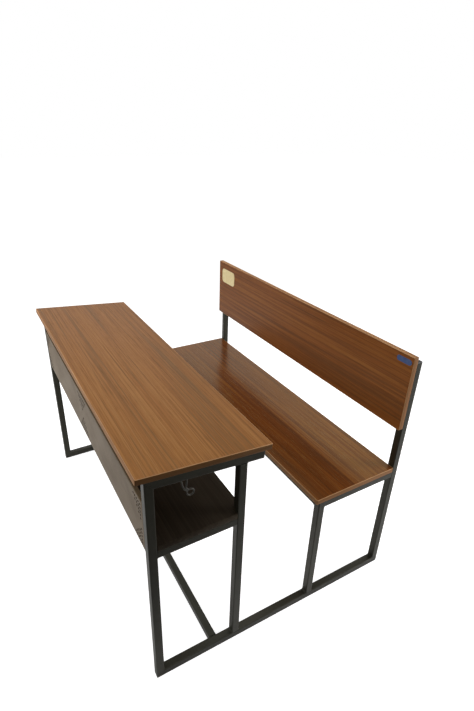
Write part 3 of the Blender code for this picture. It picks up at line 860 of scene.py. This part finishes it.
def layWelds(side, sign):
    beads = bmesh.new()
    low, high = (place.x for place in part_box("floor_runner_" + side))
    for y, z in cornerPlaces(side):
        start, end = Vector((low + weld["inset"], y, z)), Vector((high - weld["inset"], y, z))
        addBead(beads, start, end, Vector((0, 0, 1)))
    inner = low if sign > 0 else high
    for name in ("stretcher", "seat_front_rail", "seat_rear_rail", "desk_front_rail", "desk_rear_rail"):
        first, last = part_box(name)
        fall = weld["tube"] * math.sin(slope) if name.startswith("desk") else 0
        under = first.z if name != "stretcher" else first.z + weld["radius"]
        for y in (first.y, last.y):  # down both sides of the rail
            addBead(beads, Vector((inner, y, last.z - 2 * weld["inset"] - fall)),
                    Vector((inner, y, under + weld["inset"] + fall)), Vector((1, 0, 0)))
        if name != "stretcher":  # and across its underside
            addBead(beads, Vector((inner, first.y + weld["inset"], under + fall)),
                    Vector((inner, last.y - weld["inset"] - fall, under)), Vector((1, 0, 0)))
    newPiece("weld_beads_" + side, beads, materials["coat"], sharp=60)


layWelds("left", 1)
layWelds("right", -1)
print("welds laid")


# bare plates on the backrest

goldPlate = {
    "width": 0.115,
    "height": 0.068,
    "aside": 0.030,  # from the board's near end, or its far end
    "down": 0.030,
    "thick": 0.0005,
    "clip": 0.016,
    "fresh": tone(252, 234, 178),
    "worn": tone(236, 208, 142),
    "wornRange": (0.35, 0.75),
    "wornShare": 0.6,
    "metal": 0.1,
    "roughness": 0.34,
    "blotch": 90.0,  # how often it repeats in a metre
    "brushed": (900.0, 60.0, 60.0),
    "brushRoughness": 0.12,
    "brushDepth": 0.00002,
}

bluePlate = {
    **goldPlate,
    "width": 0.058,
    "height": 0.019,
    "aside": 0.008,
    "down": 0.013,
    "clip": 0.0085,
    "fresh": tone(58, 82, 132),
    "worn": tone(84, 104, 146),
    "metal": 0.0,
}


def plateFinish(name, look):
    sheet = Finish(name)
    blotch = sheet.noise(sheet.places(), look["blotch"], 3.0, 0.6)
    brushed = sheet.noise(sheet.places(look["brushed"]), 1.0, 2.0, 0.5)
    worn = sheet.between(blotch, *look["wornRange"]) * look["wornShare"]
    colour = sheet.colours(worn, look["fresh"], look["worn"])
    roughness = look["roughness"] + (brushed - 0.5) * look["brushRoughness"]
    return sheet.close({"Base Color": colour, "Metallic": look["metal"], "Roughness": roughness,
                        "Normal": sheet.bump(brushed, look["brushDepth"])})


def plate(name, look, material, end):  # end is -1 for the far end of the backrest, 1 for the near one
    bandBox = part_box("back_edge_band")
    endX = bandBox[1].x if end > 0 else bandBox[0].x
    x = endX - end * (look["aside"] + look["width"] / 2)
    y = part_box("back_board")[0].y - look["thick"] / 2
    z = bandBox[1].z - look["down"] - look["height"] / 2
    shape = bmesh.new()
    size = Matrix.Diagonal((look["width"], look["thick"], look["height"], 1))
    bmesh.ops.create_cube(shape, size=1.0, matrix=Matrix.Translation((x, y, z)) @ size)
    corners = [edge for edge in shape.edges
               if (edge.verts[0].co - edge.verts[1].co).xz.length < look["thick"] / 10]
    easeEdges(shape, corners, look["clip"], 3)
    newPiece(name, shape, material, sharp=30)


plate("gold_plate", goldPlate, plateFinish("goldPlate", goldPlate), -1)
plate("blue_plate", bluePlate, plateFinish("bluePlate", bluePlate), 1)
print("plates fitted")


# floor, light and camera

studio = {
    "floorSize": 40.0,
    "floorWhite": 0.80,
    "shadedFloorWhite": 0.22,  # how pale the floor is in front of the near end, where painted shade darkens it
    "shadeX": 0.92,  # the direction in which it gets darker
    "shadeY": -0.40,
    "shadeStart": 0.57,  # metres that way from the bench's middle
    "shadeEnd": 1.15,
    "floorGlow": 0.86,  # what the camera sees on top of the light that falls there
    "shadeGlow": 0.4,  # and what is added where the floor is darker
    "floorGloss": 0.24,  # what a shiny surface sees on top of it
    "skyLight": 0.20,
    "skyGloss": 0.70,
    "skyWhite": 1.0,
}

lamp = {"aim": (0.0, 0.0, 0.5), "spread": 180, "mirrored": True}  # mirrored: seen in shiny surfaces

lamps = {
    "overhead": {**lamp, "place": (-0.3, -0.1, 2.9), "size": 2.2, "power": 25.0},
    "side": {**lamp, "place": (1.6, 2.0, 1.0), "aim": (0.6, 0.5, 0.6), "size": 0.9, "power": 8.0,
             "spread": 80},
    "front": {**lamp, "place": (-1.2, -2.6, 1.7), "size": 1.8, "power": 40.0},
    "back": {**lamp, "place": (-1.2, 2.3, 2.1), "aim": (0.0, 0.2, 0.5), "size": 0.9, "power": 17.0,
             "mirrored": False},
}

view = {
    "place": (1.42593, -0.71230, 1.52411),
    "turn": (62.8621, -1.3651, 60.3712),  # degrees
    "lens": 23.8995,
    "sensor": 36.0,
    "nearest": 0.05,
    "farthest": 200.0,
    "shiftX": 0.014561,
    "shiftY": 0.008489,
}


def seen(nodeSet, inView, inGloss, asLight):  # levels for the camera, for shiny surfaces and as a light
    camera = nodeSet.add("ShaderNodeLightPath", output="Is Camera Ray")
    shiny = nodeSet.add("ShaderNodeLightPath", output="Is Glossy Ray")
    return camera * (inView - asLight) + shiny * (inGloss - asLight) + asLight


def makeFloor():
    white = Finish("studioFloor")
    # the floor is painted darker in front of the near end: painted shade, which the glow hides from the
    # camera
    nearer = white.along("X") * studio["shadeX"] + white.along("Y") * studio["shadeY"]
    floorShade = white.between(nearer, studio["shadeStart"], studio["shadeEnd"])
    level = studio["floorWhite"] - floorShade * (studio["floorWhite"] - studio["shadedFloorWhite"])
    paint = white.add("ShaderNodeCombineColor", {}, {0: level, 1: level, 2: level})
    ground = white.add("ShaderNodeBsdfDiffuse", {}, {"Color": paint})
    glowLevel = studio["floorGlow"] + floorShade * studio["shadeGlow"]
    bright = seen(white, glowLevel, studio["floorGloss"] * (1 - floorShade), 0.0)
    glow = white.add("ShaderNodeEmission", {}, {"Strength": bright})
    both = white.add("ShaderNodeAddShader", {}, {0: ground, 1: glow})
    white.add("ShaderNodeOutputMaterial", {}, {"Surface": both})
    shape = bmesh.new()
    bmesh.ops.create_grid(shape, x_segments=1, y_segments=1, size=studio["floorSize"] / 2)
    addObject("floor", toMesh("floor", shape, white.material))


def makeSky():
    sky = bpy.data.worlds.new("studioSky")
    bpy.context.scene.world = sky
    sky.use_nodes = True
    air = NodeSet(sky.node_tree)
    strength = seen(air, studio["skyWhite"], studio["skyGloss"], studio["skyLight"])
    background = air.add("ShaderNodeBackground", {}, {"Color": (1, 1, 1, 1), "Strength": strength})
    air.add("ShaderNodeOutputWorld", {}, {"Surface": background})


def makeLamp(name, look):
    light = bpy.data.lights.new(name, "AREA")
    light.shape = "SQUARE"
    light.size = look["size"]
    light.energy = look["power"]
    light.spread = math.radians(look["spread"])
    holder = addObject(name, light)
    holder.visible_glossy = look["mirrored"]
    holder.location = look["place"]
    aim = Vector(look["aim"]) - Vector(look["place"])
    holder.rotation_euler = aim.to_track_quat("-Z", "Y").to_euler()


def makeCamera():
    lens = bpy.data.cameras.new("photoView")
    lens.lens = view["lens"]
    lens.sensor_width = view["sensor"]
    lens.sensor_fit = "AUTO"
    lens.shift_x = view["shiftX"]
    lens.shift_y = view["shiftY"]
    lens.clip_start = view["nearest"]
    lens.clip_end = view["farthest"]
    camera = addObject("photoView", lens)
    camera.location = view["place"]
    camera.rotation_euler = Euler([math.radians(angle) for angle in view["turn"]])
    bpy.context.scene.camera = camera


makeFloor()
makeSky()
for name, look in lamps.items():
    makeLamp(name, look)
makeCamera()
bpy.context.scene.view_settings.view_transform = "Standard"
print("studio set")
